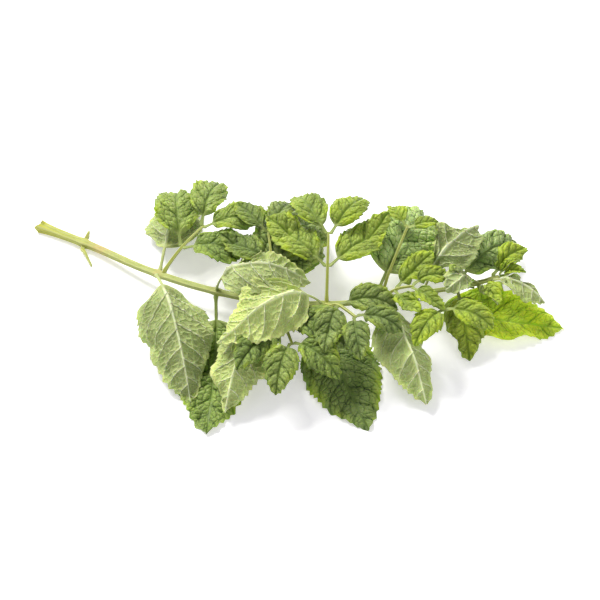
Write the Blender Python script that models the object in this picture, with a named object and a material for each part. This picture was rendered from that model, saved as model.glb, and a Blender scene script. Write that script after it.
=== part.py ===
"""A cut sprig of garden mint, lying on a table.

One main stem carries leaves in opposite pairs, short side shoots in some of the leaf axils and a bud of
young leaves at its tip. X runs along the sprig from the cut end to the tip, -Y is the near side, Z is up,
and the table is the plane z = 0. Lengths in the tables are millimetres and angles are degrees.

Each leaf grows from its node as a limp sheet of a fixed length and width. It leaves the stem at its own
angle, bends under its own weight, and is laid over whatever is already there: first come the leaves that
lie on the table under the stem, then the stem, the leaves of its two sides, the side shoots, and last the
leaves that arch over the top.
"""

import math
from collections import namedtuple

import bmesh
import bpy
import numpy as np
from mathutils import Vector

MM = 0.001

# The main stem: the points that it passes through, from the cut end to the tip.
STEM_ROUTE = (
    (-119.0, 46.0, 1.9),
    (-94.0, 33.0, 3.2),
    (-68.0, 16.0, 7.0),
    (-40.0, 2.0, 10.5),
    (-10.0, -7.0, 12.5),
    (22.0, -8.0, 13.0),
    (52.0, -2.0, 12.0),
    (76.0, 3.0, 11.5),
    (92.0, 6.0, 14.5),
)
STEM_WIDTHS = (3.4, 1.6)
SHOOT_WIDTHS = (1.5, 1.1)
STUB_WIDTHS = (1.5, 0.9)
RING_SPACING = 4.0
NODE_SWELLING = 0.22
NODE_SWELLING_REACH = 2.6
CORNER_CUT = 0.3
CURVE_DETAIL = 40
SHARP_ANGLE = 50

# The distance of each leaf pair's node from the cut end. The lowest pair has been stripped off.
NODES = (24.0, 66.0, 96.0, 121.0, 144.0, 169.0, 191.0, 206.0, 216.0, 223.0, 227.0)

# A leaf's solid. Leaves shorter than the full length have thinner petioles and ribs in proportion.
BLADE_THICKNESS = 0.5
RIB_HEIGHT = 0.45
RIB_TAPER = 3.0
PETIOLE_THICKNESS = 1.1
PETIOLE_WIDTH = 1.5
PETIOLE_BLEND = 0.25
TIP_WIDTH = 0.8
FULL_LENGTH = 45.0
BLADE_FULLEST = (0.6, 0.95)
WAVES = 11.0
PATCH_ROWS = 25
PATCH_COLUMNS = 9
SOLID_COLUMNS = 4
SOLID_ROW_LENGTH = 5.0

# How leaves and shoots leave their stem: clear of its surface and turned away from its length.
JOINT_GAP = 0.35
CORNER_REACH = 1.15
TURN_OUT = 0.8

# Side shoots, and their leaves in shares of a leaf's length.
AXIL_OFFSET = 2.5
SHOOT_STEPS = 8
STUB_STEPS = 3
SHOOT_SPREADS = (56, 36)
LAST_PAIR = 0.98
PAIR_SHRINKAGE = 0.3
SHOOT_LEAF_WIDTH = 0.58
SHOOT_PETIOLE = 0.14
SHOOT_PETIOLE_THICKNESS = 0.66
SHOOT_LEAF_LEAVING = 20

# How leaves lie on each other.
CELL = 2.0
PILE_REACH = 160.0
LEAF_CLEARANCE = 1.5
COVER_GRID = (70, 31)
SLOPE_CELLS = 4
SLOPES = (0.55, 0.8)
FREE_SHARES = (0.1, 0.22)

# What the materials show: colour, roughness.
MATERIALS = {
    "stem": ((0.52, 0.54, 0.13), 0.45),
    "leaf_dark": ((0.11, 0.20, 0.05), 0.5),
    "leaf_pale": ((0.42, 0.50, 0.18), 0.6),
    "leaf_young": ((0.32, 0.46, 0.04), 0.5),
}

Leaf = namedtuple(
    "Leaf", "name node heading rise fall length width petiole roll fold curl sway wave material"
)
Stub = namedtuple("Stub", "name heading rise fall length")
Shoot = namedtuple("Shoot", "name node heading rise fall length leaf_length pairs material")

# What the leaves of all side shoots have in common. Each shoot gives them their place and their size.
SHOOT_LEAF = Leaf("", 0, 0, 30, -42, 0, 0, 0, 6, 12, -4, -10, 8, "")

# What is left of the stripped pair's petioles.
STUBS = (
    Stub("petiole_stub_near", -66, -8, -2, 13),
    Stub("petiole_stub_far", 70, 24, 24, 3),
)
UNDER_LEAVES = (
    Leaf("leaf_2_under", 2, -88, -38, 2, 62, 37, 10, 0, 0, 5, -8, 8, "leaf_dark"),
    Leaf("leaf_4_under", 4, -74, -38, 2, 56, 34, 9, 0, -5, 2, 6, 4, "leaf_dark"),
    Leaf("leaf_6_under", 6, -12, -34, 2, 56, 30, 10, 0, 0, 8, 4, 8, "leaf_young"),
)
SIDE_LEAVES = (
    Leaf("leaf_1_near", 1, -72, 34, -46, 62, 38, 14, 180, 12, 9, -6, 11, "leaf_pale"),
    Leaf("leaf_1_far", 1, 78, 25, -42, 50, 31, 10, 170, 16, 7, 8, 12, "leaf_pale"),
    Leaf("leaf_3_near", 3, -113, 34, -46, 55, 32, 10, 180, 18, 8, 8, 12, "leaf_pale"),
    Leaf("leaf_3_far", 3, 74, 28, -42, 53, 33, 9, 15, 23, -14, -14, 12, "leaf_dark"),
    Leaf("leaf_5_near", 5, -64, 30, -46, 52, 31, 9, 170, 14, 9, -8, 12, "leaf_pale"),
    Leaf("leaf_5_far", 5, 61, 34, -42, 52, 34, 11, 12, 20, -14, 8, 11, "leaf_dark"),
    Leaf("leaf_7_near", 7, -84, 16, -46, 31, 18, 6, 8, 16, -10, 4, 12, "leaf_young"),
    Leaf("leaf_7_far", 7, 48, 24, -40, 38, 21, 7, 20, 18, -13, -8, 12, "leaf_dark"),
)
SHOOTS = (
    Shoot("shoot_3_near", 3, -73, 20, 0, 28, 36, 2, "leaf_dark"),
    Shoot("shoot_1_far", 1, 44, 40, 12, 27, 40, 2, "leaf_dark"),
    Shoot("shoot_3_far", 3, 97, 39, 13, 31, 29, 2, "leaf_dark"),
    Shoot("shoot_5_far", 5, 64, 36, 29, 33, 19, 1, "leaf_young"),
    Shoot("shoot_4_near", 4, -52, 36, 12, 24, 29, 2, "leaf_dark"),
    Shoot("shoot_4_far", 4, 88, 41, 24, 30, 38, 2, "leaf_young"),
    Shoot("shoot_6_near", 6, -75, 34, 19, 24, 30, 1, "leaf_young"),
    Shoot("shoot_5_near", 5, -13, 53, 26, 18, 24, 2, "leaf_young"),
)
TOP_LEAVES = (
    Leaf("leaf_2_top", 2, -11, 75, -43, 48, 29, 9, 165, 19, 3, 6, 8, "leaf_pale"),
    Leaf("leaf_4_top", 4, -144, 60, -42, 52, 33, 13, 180, 14, 9, -6, 12, "leaf_pale"),
    Leaf("leaf_6_top", 6, 44, 66, -37, 41, 25, 8, 165, 34, 0, 7, 1, "leaf_pale"),
    Leaf("leaf_8_top", 8, -138, 55, -48, 24, 15, 5, 180, 16, 9, 4, 12, "leaf_pale"),
    Leaf("leaf_8_under", 8, -70, -11, -38, 21, 12, 4, 12, 12, -5, 2, 12, "leaf_young"),
    Leaf("leaf_9_near", 9, -30, 36, -36, 25, 14, 4, 174, 16, 6, -5, 8, "leaf_pale"),
    Leaf("leaf_9_far", 9, 38, 34, -20, 20, 11, 3, 10, 16, -4, 0, 8, "leaf_young"),
    Leaf("bud_leaf_near", 10, -18, 40, 3, 12, 6, 2, 10, 20, 4, 0, 0, "leaf_young"),
    Leaf("bud_leaf_far", 10, 6, 72, 20, 11, 5, 2, 10, 20, 4, 0, 0, "leaf_young"),
)


def direction(heading, pitch):
    """The unit vector with this compass heading and this pitch above the table."""
    h, p = math.radians(heading), math.radians(pitch)
    return np.array([math.cos(p) * math.cos(h), math.cos(p) * math.sin(h), math.sin(p)])


def unit(vector):
    return vector / np.linalg.norm(vector)


def between(grid, at):
    """A grid's rows at fractional row numbers, on a smooth curve through its own rows."""
    last = len(grid) - 1
    at = np.clip(at, 0, last)
    i = np.minimum(at.astype(int), last - 1)
    t = (at - i).reshape(-1, *[1] * (grid.ndim - 1))
    padded = np.concatenate([2 * grid[:1] - grid[1:2], grid, 2 * grid[-1:] - grid[-2:-1]])
    a, b, c, d = (padded[i + k] for k in range(4))
    return 0.5 * (2 * b + (c - a) * t + (2 * a - 5 * b + 4 * c - d) * t**2 + (3 * b - a - 3 * c + d) * t**3)


def run_of(points, spacing):
    """Points about this far apart on a smooth curve through the given ones, and the distance of each."""
    fine = between(np.array(points, float), np.linspace(0, len(points) - 1, CURVE_DETAIL * len(points)))
    along = np.concatenate([[0], np.cumsum(np.linalg.norm(np.diff(fine, axis=0), axis=1))])
    at = np.linspace(0, along[-1], max(4, round(along[-1] / spacing) + 1))
    return np.stack([np.interp(at, along, fine[:, k]) for k in range(3)], axis=1), at


class Pile:
    """The height of what already lies on the table, on a square grid of cells."""

    def __init__(self):
        cells = int(2 * PILE_REACH / CELL)
        self.height = np.full((cells, cells), BLADE_THICKNESS / 2)

    def under(self, point):
        """The lowest height that a new leaf's middle may have at this point."""
        x, y = np.clip((point[:2] + PILE_REACH) / CELL, 0, len(self.height) - 2)
        i, j = int(x), int(y)
        u, v = x - i, y - j
        near = self.height[i, j] * (1 - u) + self.height[i + 1, j] * u
        far = self.height[i, j + 1] * (1 - u) + self.height[i + 1, j + 1] * u
        return near * (1 - v) + far * v

    def cover(self, points):
        """Raises the pile over these points, with slopes at the edges that a leaf can bend round."""
        cells = np.round((points[:, :2] + PILE_REACH) / CELL).astype(int)
        np.maximum.at(self.height, (cells[:, 0], cells[:, 1]), points[:, 2] + LEAF_CLEARANCE)
        for _ in range(SLOPE_CELLS):
            for step, axis in ((1, 0), (-1, 0), (1, 1), (-1, 1)):
                beside = np.roll(self.height, step, axis) - SLOPES[0] * CELL
                self.height = np.maximum(self.height, beside)


def laid(start, step, pile, share):
    """The point one step on. A step that would sink into the pile turns up and keeps its length."""
    end = start + step
    floor = BLADE_THICKNESS / 2
    floor += share * (pile.under(end) - floor)
    if end[2] >= floor:
        return end
    length = np.linalg.norm(step)
    climb = np.clip(floor - start[2], -SLOPES[1] * length, SLOPES[1] * length)
    flat = np.array([step[0], step[1], 0.0])
    flat *= math.sqrt(length**2 - climb**2) / max(np.linalg.norm(flat), 1e-6)
    return start + flat + [0, 0, climb]


def walk(base, heading, sway, rise, fall, length, steps, pile):
    """A limp line's points. Its pitch turns from rise to fall, and it rests on the pile."""
    line = [np.array(base, float)]
    contact = [0.0]
    for i in range(1, steps + 1):
        t = i / steps
        pitch = rise + (fall - rise) * t * t * (3 - 2 * t)
        contact.append(float(np.clip((t - FREE_SHARES[0]) / (FREE_SHARES[1] - FREE_SHARES[0]), 0, 1)))
        step = direction(heading + sway * t, pitch) * length / steps
        line.append(laid(line[-1], step, pile, contact[-1]))
    return np.array(line), contact


def grow(leaf, base, pile):
    """The leaf's sheet as rows of points, each row running across the midrib in equal steps."""
    total = leaf.petiole + leaf.length
    steps = PATCH_ROWS - 1
    midrib, contact = walk(base, leaf.heading, leaf.sway, leaf.rise, leaf.fall, total, steps, pile)
    half = PATCH_COLUMNS // 2
    reach = leaf.width / 2 / half
    patch = np.zeros((PATCH_ROWS, PATCH_COLUMNS, 3))
    for i, tangent in enumerate(np.gradient(midrib, axis=0)):
        level = unit(np.cross([0.0, 0.0, 1.0], tangent))
        upright = np.cross(unit(tangent), level)
        roll = math.radians(leaf.roll)
        side = math.cos(roll) * level + math.sin(roll) * upright
        face = math.cos(roll) * upright - math.sin(roll) * level
        patch[i, half] = midrib[i]
        for sign in (-1, 1):
            ripple = leaf.wave * math.sin(i / PATCH_ROWS * WAVES + sign * leaf.node)
            for j in range(1, half + 1):
                angle = math.radians(leaf.fold + leaf.curl * j + ripple * j / half)
                step = (sign * math.cos(angle) * side + math.sin(angle) * face) * reach
                patch[i, half + sign * j] = laid(patch[i, half + sign * (j - 1)], step, pile, contact[i])
    return patch


def half_width(leaf, distance):
    """Half the leaf's width at these distances from the foot of its petiole."""
    u = np.clip((distance - leaf.petiole) / leaf.length, 0, 1)
    a, b = BLADE_FULLEST
    fullest = (a / (a + b)) ** a * (b / (a + b)) ** b
    blade = leaf.width / 2 * u**a * (1 - u) ** b / fullest
    return np.maximum(blade, np.where(u < 0.5, PETIOLE_WIDTH, TIP_WIDTH) / 2)


def on_leaf(leaf, patch, distances, shares):
    """A grid of points on the leaf's sheet, at these distances along it and shares of its half-width."""
    rows = between(patch, distances / (leaf.petiole + leaf.length) * (PATCH_ROWS - 1))
    widths = half_width(leaf, distances) / (leaf.width / 2)
    return np.array([between(row, PATCH_COLUMNS // 2 * (1 + w * shares)) for row, w in zip(rows, widths)])


def show(name, shape, material):
    """An object made from a finished bmesh."""
    bmesh.ops.recalc_face_normals(shape, faces=shape.faces)
    mesh = bpy.data.meshes.new(name)
    shape.to_mesh(mesh)
    shape.free()
    mesh.materials.append(bpy.data.materials[material])
    mesh.shade_smooth()
    mesh.set_sharp_from_angle(angle=math.radians(SHARP_ANGLE))
    bpy.context.scene.collection.objects.link(bpy.data.objects.new(name, mesh))


def leaf_solid(leaf, patch):
    """The leaf as a closed solid: its sheet with a thickness, a thicker petiole and a rib underneath."""
    blade_rows = max(5, round(leaf.length / SOLID_ROW_LENGTH))
    petiole_rows = max(1, round(leaf.petiole / SOLID_ROW_LENGTH))
    spaced = 0.5 - 0.5 * np.cos(np.linspace(0, math.pi, blade_rows + 1))
    petiole = np.linspace(0, leaf.petiole, petiole_rows, endpoint=False)
    distances = np.concatenate([petiole, leaf.petiole + leaf.length * spaced])
    shares = np.linspace(-1, 1, SOLID_COLUMNS + 1)
    middle = on_leaf(leaf, patch, distances, shares)
    normals = np.cross(np.gradient(middle, axis=0), np.gradient(middle, axis=1))
    normals /= np.linalg.norm(normals, axis=2, keepdims=True)
    grown = np.clip((distances - leaf.petiole) / (leaf.length * PETIOLE_BLEND), 0, 1)[:, None]
    size = min(1.0, leaf.length / FULL_LENGTH)
    thickness = PETIOLE_THICKNESS * size * (1 - grown) + BLADE_THICKNESS * grown
    rib = RIB_HEIGHT * size * np.minimum(grown, RIB_TAPER * (1 - grown * distances[:, None] / distances[-1]))
    rib = rib * (np.arange(SOLID_COLUMNS + 1) == SOLID_COLUMNS // 2)
    upper = middle + normals * (thickness / 2)[..., None]
    under = middle - normals * (thickness / 2 + rib)[..., None]
    shape = bmesh.new()
    skins = []
    for skin in (upper, under):
        skin[..., 2] = np.maximum(skin[..., 2], 0)
        skins.append([[shape.verts.new(Vector(p) * MM) for p in row] for row in skin])
    for rows in skins:
        for low, high in zip(rows, rows[1:]):
            for k in range(SOLID_COLUMNS):
                shape.faces.new((low[k], high[k], high[k + 1], low[k + 1]))
    upper_rim, under_rim = (
        rows[0] + [row[-1] for row in rows[1:-1]] + rows[-1][::-1] + [row[0] for row in rows[-2:0:-1]]
        for rows in skins
    )
    for k in range(len(upper_rim)):
        shape.faces.new((upper_rim[k - 1], upper_rim[k], under_rim[k], under_rim[k - 1]))
    show(leaf.name, shape, leaf.material)


def stem_solid(name, route, widths, material="stem"):
    """A square stem with blunt corners, swept along its route and closed at both ends."""
    shape = bmesh.new()
    rings = []
    for point, tangent, width in zip(route, np.gradient(route, axis=0), widths):
        side = unit(np.cross([0.0, 0.0, 1.0], tangent))
        top = np.cross(unit(tangent), side)
        half, blunt = width / 2, width / 2 * (1 - CORNER_CUT * 2)
        corners = ((half, blunt), (blunt, half), (-blunt, half), (-half, blunt))
        corners += ((-half, -blunt), (-blunt, -half), (blunt, -half), (half, -blunt))
        rings.append([shape.verts.new(Vector(point + a * side + b * top) * MM) for a, b in corners])
    for ring, following in zip(rings, rings[1:]):
        for k in range(8):
            shape.faces.new((ring[k], following[k], following[k - 7], ring[k - 7]))
    shape.faces.new(rings[0])
    shape.faces.new(rings[-1])
    show(name, shape, material)


def swollen(at, widths):
    """The main stem's width at each distance from the cut end, thicker where its leaves are joined."""
    swelling = sum(np.exp(-(((at - node) / NODE_SWELLING_REACH) ** 2)) for node in NODES)
    return np.interp(at, (0, at[-1]), widths) * (1 + NODE_SWELLING * np.minimum(swelling, 1))


class Stem:
    """A stem's route with its widths, and the places on its surface where leaves and shoots start."""

    def __init__(self, points, widths, swells=False):
        self.route, self.at = run_of(points, RING_SPACING)
        self.widths = swollen(self.at, widths) if swells else np.interp(self.at, (0, self.at[-1]), widths)

    def spot(self, distance):
        return np.array([np.interp(distance, self.at, self.route[:, k]) for k in range(3)])

    def foot(self, distance, heading, pitch, thickness):
        """The start of something this thick that leaves the stem here, just clear of its surface."""
        along = unit(self.spot(distance + 1) - self.spot(distance - 1))
        out = direction(heading, pitch)
        out = unit(out - TURN_OUT * (out @ along) * along)
        reach = np.interp(distance, self.at, self.widths) / 2 * CORNER_REACH + JOINT_GAP + thickness / 2
        return self.spot(distance) + out * reach


def make_materials():
    for name, (colour, roughness) in MATERIALS.items():
        material = bpy.data.materials.new(name)
        material.use_nodes = True
        shader = material.node_tree.nodes["Principled BSDF"]
        shader.inputs["Base Color"].default_value = (*colour, 1)
        shader.inputs["Roughness"].default_value = roughness


def add_leaf(leaf, base, pile):
    patch = grow(leaf, base, pile)
    distances = np.linspace(0, leaf.petiole + leaf.length, COVER_GRID[0])
    pile.cover(on_leaf(leaf, patch, distances, np.linspace(-1, 1, COVER_GRID[1])).reshape(-1, 3))
    leaf_solid(leaf, patch)


def add_stem(name, stem, pile):
    stem_solid(name, stem.route, stem.widths)
    for distance in np.arange(0, stem.at[-1], 1.0):
        half = np.interp(distance, stem.at, stem.widths) / 2
        pile.cover(stem.spot(distance) + np.array([[0, y, half] for y in (-half, 0, half)]))


def add_shoot(shoot, main_stem, pile):
    """A side shoot from a leaf's axil: a short stem with pairs of leaves, each pair smaller than the last."""
    base = main_stem.foot(NODES[shoot.node] + AXIL_OFFSET, shoot.heading, shoot.rise, SHOOT_WIDTHS[0])
    line, _ = walk(base, shoot.heading, 0, shoot.rise, shoot.fall, shoot.length, SHOOT_STEPS, pile)
    stem = Stem(line, SHOOT_WIDTHS)
    add_stem(shoot.name + "_stem", stem, pile)
    for pair in range(shoot.pairs):
        share = (pair + 1) / shoot.pairs
        distance = LAST_PAIR * share * stem.at[-1]
        length = shoot.leaf_length * (1 - PAIR_SHRINKAGE * share)
        for side, sign in (("near", -1), ("far", 1)):
            leaf = SHOOT_LEAF._replace(
                name=f"{shoot.name}_leaf_{pair + 1}_{side}", node=shoot.node,
                heading=shoot.heading + sign * SHOOT_SPREADS[pair % 2],
                length=length, width=length * SHOOT_LEAF_WIDTH, petiole=length * SHOOT_PETIOLE,
                roll=sign * SHOOT_LEAF.roll, sway=sign * SHOOT_LEAF.sway, material=shoot.material,
            )
            add_leaf(leaf, stem.foot(distance, leaf.heading, SHOOT_LEAF_LEAVING, SHOOT_PETIOLE_THICKNESS), pile)


def main():
    for old in list(bpy.data.objects):
        bpy.data.objects.remove(old, do_unlink=True)
    make_materials()
    main_stem = Stem(STEM_ROUTE, STEM_WIDTHS, swells=True)
    pile = Pile()

    def add_leaves(leaves):
        for leaf in leaves:
            thickness = PETIOLE_THICKNESS * min(1.0, leaf.length / FULL_LENGTH)
            add_leaf(leaf, main_stem.foot(NODES[leaf.node], leaf.heading, leaf.rise, thickness), pile)

    add_leaves(UNDER_LEAVES)
    add_stem("main_stem", main_stem, pile)
    for stub in STUBS:
        base = main_stem.foot(NODES[0], stub.heading, stub.rise, STUB_WIDTHS[0])
        line, _ = walk(base, stub.heading, 0, stub.rise, stub.fall, stub.length, STUB_STEPS, pile)
        stem_solid(stub.name, line, np.linspace(*STUB_WIDTHS, len(line)))
    add_leaves(SIDE_LEAVES)
    for shoot in SHOOTS:
        add_shoot(shoot, main_stem, pile)
    add_leaves(TOP_LEAVES)


main()
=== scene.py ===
import math
from collections import namedtuple

import bmesh
import bpy
import numpy as np
from bpy.props import FloatProperty, FloatVectorProperty, PointerProperty
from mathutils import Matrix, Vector


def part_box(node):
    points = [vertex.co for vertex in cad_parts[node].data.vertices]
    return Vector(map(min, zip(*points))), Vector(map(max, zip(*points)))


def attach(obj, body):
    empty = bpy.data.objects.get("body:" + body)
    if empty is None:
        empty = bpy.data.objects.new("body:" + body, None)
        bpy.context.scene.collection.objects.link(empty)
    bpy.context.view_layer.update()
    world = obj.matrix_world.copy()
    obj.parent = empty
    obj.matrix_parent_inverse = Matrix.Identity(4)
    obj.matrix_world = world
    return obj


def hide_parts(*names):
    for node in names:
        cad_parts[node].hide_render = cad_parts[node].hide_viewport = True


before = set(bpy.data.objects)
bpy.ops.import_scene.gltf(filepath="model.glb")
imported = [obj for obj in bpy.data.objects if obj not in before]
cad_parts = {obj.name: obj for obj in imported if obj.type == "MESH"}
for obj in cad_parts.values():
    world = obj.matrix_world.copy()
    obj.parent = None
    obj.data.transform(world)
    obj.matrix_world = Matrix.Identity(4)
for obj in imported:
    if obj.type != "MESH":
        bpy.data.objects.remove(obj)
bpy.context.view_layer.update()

bl_info = {
    "name": "Mint Sprig",
    "version": (1, 0, 0),
    "blender": (4, 5, 0),
    "location": "3D View > Sidebar > Mint",
    "description": "Finishes a cut mint sprig: quilted toothed leaves, a ridged hairy stem and a table",
    "category": "Add Mesh",
}

MM = 0.001

# The growth plan, the same as the construction's: lengths in millimetres, angles in degrees.
STEM_ROUTE = (
    (-119.0, 46.0, 1.9),
    (-94.0, 33.0, 3.2),
    (-68.0, 16.0, 7.0),
    (-40.0, 2.0, 10.5),
    (-10.0, -7.0, 12.5),
    (22.0, -8.0, 13.0),
    (52.0, -2.0, 12.0),
    (76.0, 3.0, 11.5),
    (92.0, 6.0, 14.5),
)
STEM_WIDTHS = (3.4, 1.6)
SHOOT_WIDTHS = (1.5, 1.1)
STUB_WIDTHS = (1.5, 0.9)
RING_SPACING = 4.0
NODE_SWELLING = 0.22
NODE_SWELLING_REACH = 2.6
CURVE_DETAIL = 40

# The distance of each leaf pair's node from the cut end.
NODES = (24.0, 66.0, 96.0, 121.0, 144.0, 169.0, 191.0, 206.0, 216.0, 223.0, 227.0)

# A leaf's sheet. Leaves shorter than the full length have thinner petioles in proportion.
BLADE_THICKNESS = 0.5
PETIOLE_THICKNESS = 1.1
PETIOLE_WIDTH = 1.5
TIP_WIDTH = 0.8
FULL_LENGTH = 45.0
BLADE_FULLEST = (0.6, 0.95)
WAVES = 11.0
PATCH_ROWS = 25
PATCH_COLUMNS = 9

# How leaves and shoots leave their stem: clear of its surface and turned away from its length.
JOINT_GAP = 0.35
CORNER_REACH = 1.15
TURN_OUT = 0.8

# Side shoots, and their leaves in shares of a leaf's length.
AXIL_OFFSET = 2.5
SHOOT_STEPS = 8
STUB_STEPS = 3
SHOOT_SPREADS = (56, 36)
LAST_PAIR = 0.98
PAIR_SHRINKAGE = 0.3
SHOOT_LEAF_WIDTH = 0.58
SHOOT_PETIOLE = 0.14
SHOOT_PETIOLE_THICKNESS = 0.66
SHOOT_LEAF_LEAVING = 20

# How leaves lie on each other.
CELL = 2.0
PILE_REACH = 160.0
LEAF_CLEARANCE = 1.5
COVER_GRID = (70, 31)
SLOPE_CELLS = 4
SLOPES = (0.55, 0.8)
FREE_SHARES = (0.1, 0.22)

Leaf = namedtuple(
    "Leaf", "name node heading rise fall length width petiole roll fold curl sway wave material"
)
Stub = namedtuple("Stub", "name heading rise fall length")
Shoot = namedtuple("Shoot", "name node heading rise fall length leaf_length pairs material")

# What the leaves of all side shoots have in common. Each shoot gives them their place and their size.
SHOOT_LEAF = Leaf("", 0, 0, 30, -42, 0, 0, 0, 6, 12, -4, -10, 8, "")

STUBS = (
    Stub("petiole_stub_near", -66, -8, -2, 13),
    Stub("petiole_stub_far", 70, 24, 24, 3),
)
UNDER_LEAVES = (
    Leaf("leaf_2_under", 2, -88, -38, 2, 62, 37, 10, 0, 0, 5, -8, 8, "leaf_dark"),
    Leaf("leaf_4_under", 4, -74, -38, 2, 56, 34, 9, 0, -5, 2, 6, 4, "leaf_dark"),
    Leaf("leaf_6_under", 6, -12, -34, 2, 56, 30, 10, 0, 0, 8, 4, 8, "leaf_young"),
)
SIDE_LEAVES = (
    Leaf("leaf_1_near", 1, -72, 34, -46, 62, 38, 14, 180, 12, 9, -6, 11, "leaf_pale"),
    Leaf("leaf_1_far", 1, 78, 25, -42, 50, 31, 10, 170, 16, 7, 8, 12, "leaf_pale"),
    Leaf("leaf_3_near", 3, -113, 34, -46, 55, 32, 10, 180, 18, 8, 8, 12, "leaf_pale"),
    Leaf("leaf_3_far", 3, 74, 28, -42, 53, 33, 9, 15, 23, -14, -14, 12, "leaf_dark"),
    Leaf("leaf_5_near", 5, -64, 30, -46, 52, 31, 9, 170, 14, 9, -8, 12, "leaf_pale"),
    Leaf("leaf_5_far", 5, 61, 34, -42, 52, 34, 11, 12, 20, -14, 8, 11, "leaf_dark"),
    Leaf("leaf_7_near", 7, -84, 16, -46, 31, 18, 6, 8, 16, -10, 4, 12, "leaf_young"),
    Leaf("leaf_7_far", 7, 48, 24, -40, 38, 21, 7, 20, 18, -13, -8, 12, "leaf_dark"),
)
SHOOTS = (
    Shoot("shoot_3_near", 3, -73, 20, 0, 28, 36, 2, "leaf_dark"),
    Shoot("shoot_1_far", 1, 44, 40, 12, 27, 40, 2, "leaf_dark"),
    Shoot("shoot_3_far", 3, 97, 39, 13, 31, 29, 2, "leaf_dark"),
    Shoot("shoot_5_far", 5, 64, 36, 29, 33, 19, 1, "leaf_young"),
    Shoot("shoot_4_near", 4, -52, 36, 12, 24, 29, 2, "leaf_dark"),
    Shoot("shoot_4_far", 4, 88, 41, 24, 30, 38, 2, "leaf_young"),
    Shoot("shoot_6_near", 6, -75, 34, 19, 24, 30, 1, "leaf_young"),
    Shoot("shoot_5_near", 5, -13, 53, 26, 18, 24, 2, "leaf_young"),
)
TOP_LEAVES = (
    Leaf("leaf_2_top", 2, -11, 75, -43, 48, 29, 9, 165, 19, 3, 6, 8, "leaf_pale"),
    Leaf("leaf_4_top", 4, -144, 60, -42, 52, 33, 13, 180, 14, 9, -6, 12, "leaf_pale"),
    Leaf("leaf_6_top", 6, 44, 66, -37, 41, 25, 8, 165, 34, 0, 7, 1, "leaf_pale"),
    Leaf("leaf_8_top", 8, -138, 55, -48, 24, 15, 5, 180, 16, 9, 4, 12, "leaf_pale"),
    Leaf("leaf_8_under", 8, -70, -11, -38, 21, 12, 4, 12, 12, -5, 2, 12, "leaf_young"),
    Leaf("leaf_9_near", 9, -30, 36, -36, 25, 14, 4, 174, 16, 6, -5, 8, "leaf_pale"),
    Leaf("leaf_9_far", 9, 38, 34, -20, 20, 11, 3, 10, 16, -4, 0, 8, "leaf_young"),
    Leaf("bud_leaf_near", 10, -18, 40, 3, 12, 6, 2, 10, 20, 4, 0, 0, "leaf_young"),
    Leaf("bud_leaf_far", 10, 6, 72, 20, 11, 5, 2, 10, 20, 4, 0, 0, "leaf_young"),
)


# Growing: where every stem and leaf lies.


def direction(heading, pitch):
    """The unit vector with this compass heading and this pitch above the table."""
    h, p = math.radians(heading), math.radians(pitch)
    return np.array([math.cos(p) * math.cos(h), math.cos(p) * math.sin(h), math.sin(p)])


def unit(vector):
    return vector / np.linalg.norm(vector)


def bell(value):
    """1 at 0 and falling smoothly to 0 at both sides."""
    return np.exp(-(value**2))


def with_ends(grid):
    """The grid with one more row at each end, in line with the last two."""
    return np.concatenate([2 * grid[:1] - grid[1:2], grid, 2 * grid[-1:] - grid[-2:-1]])


def between(grid, at):
    """A grid's rows at fractional row numbers, on a smooth curve through its own rows."""
    last = len(grid) - 1
    at = np.clip(at, 0, last)
    i = np.minimum(at.astype(int), last - 1)
    t = (at - i).reshape(-1, *[1] * (grid.ndim - 1))
    padded = with_ends(grid)
    a, b, c, d = (padded[i + k] for k in range(4))
    return 0.5 * (2 * b + (c - a) * t + (2 * a - 5 * b + 4 * c - d) * t**2 + (3 * b - a - 3 * c + d) * t**3)


def run_of(points, spacing):
    """Points about this far apart on a smooth curve through the given ones, and the distance of each."""
    fine = between(np.array(points, float), np.linspace(0, len(points) - 1, CURVE_DETAIL * len(points)))
    along = np.concatenate([[0], np.cumsum(np.linalg.norm(np.diff(fine, axis=0), axis=1))])
    at = np.linspace(0, along[-1], max(4, round(along[-1] / spacing) + 1))
    return np.stack([np.interp(at, along, fine[:, k]) for k in range(3)], axis=1), at


class Pile:
    """The height of what already lies on the table, on a square grid of cells."""

    def __init__(self):
        cells = int(2 * PILE_REACH / CELL)
        self.height = np.full((cells, cells), BLADE_THICKNESS / 2)

    def under(self, point):
        """The lowest height that a new leaf's middle may have at this point."""
        x, y = np.clip((point[:2] + PILE_REACH) / CELL, 0, len(self.height) - 2)
        i, j = int(x), int(y)
        u, v = x - i, y - j
        near = self.height[i, j] * (1 - u) + self.height[i + 1, j] * u
        far = self.height[i, j + 1] * (1 - u) + self.height[i + 1, j + 1] * u
        return near * (1 - v) + far * v

    def cover(self, points):
        """Raises the pile over these points, with slopes at the edges that a leaf can bend round."""
        cells = np.round((points[:, :2] + PILE_REACH) / CELL).astype(int)
        np.maximum.at(self.height, (cells[:, 0], cells[:, 1]), points[:, 2] + LEAF_CLEARANCE)
        for _ in range(SLOPE_CELLS):
            for step, axis in ((1, 0), (-1, 0), (1, 1), (-1, 1)):
                beside = np.roll(self.height, step, axis) - SLOPES[0] * CELL
                self.height = np.maximum(self.height, beside)


def laid(start, step, pile, share):
    """The point one step on. A step that would sink into the pile turns up and keeps its length."""
    end = start + step
    floor = BLADE_THICKNESS / 2
    floor += share * (pile.under(end) - floor)
    if end[2] >= floor:
        return end
    length = np.linalg.norm(step)
    climb = np.clip(floor - start[2], -SLOPES[1] * length, SLOPES[1] * length)
    flat = np.array([step[0], step[1], 0.0])
    flat *= math.sqrt(length**2 - climb**2) / max(np.linalg.norm(flat), 1e-6)
    return start + flat + [0, 0, climb]


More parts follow.
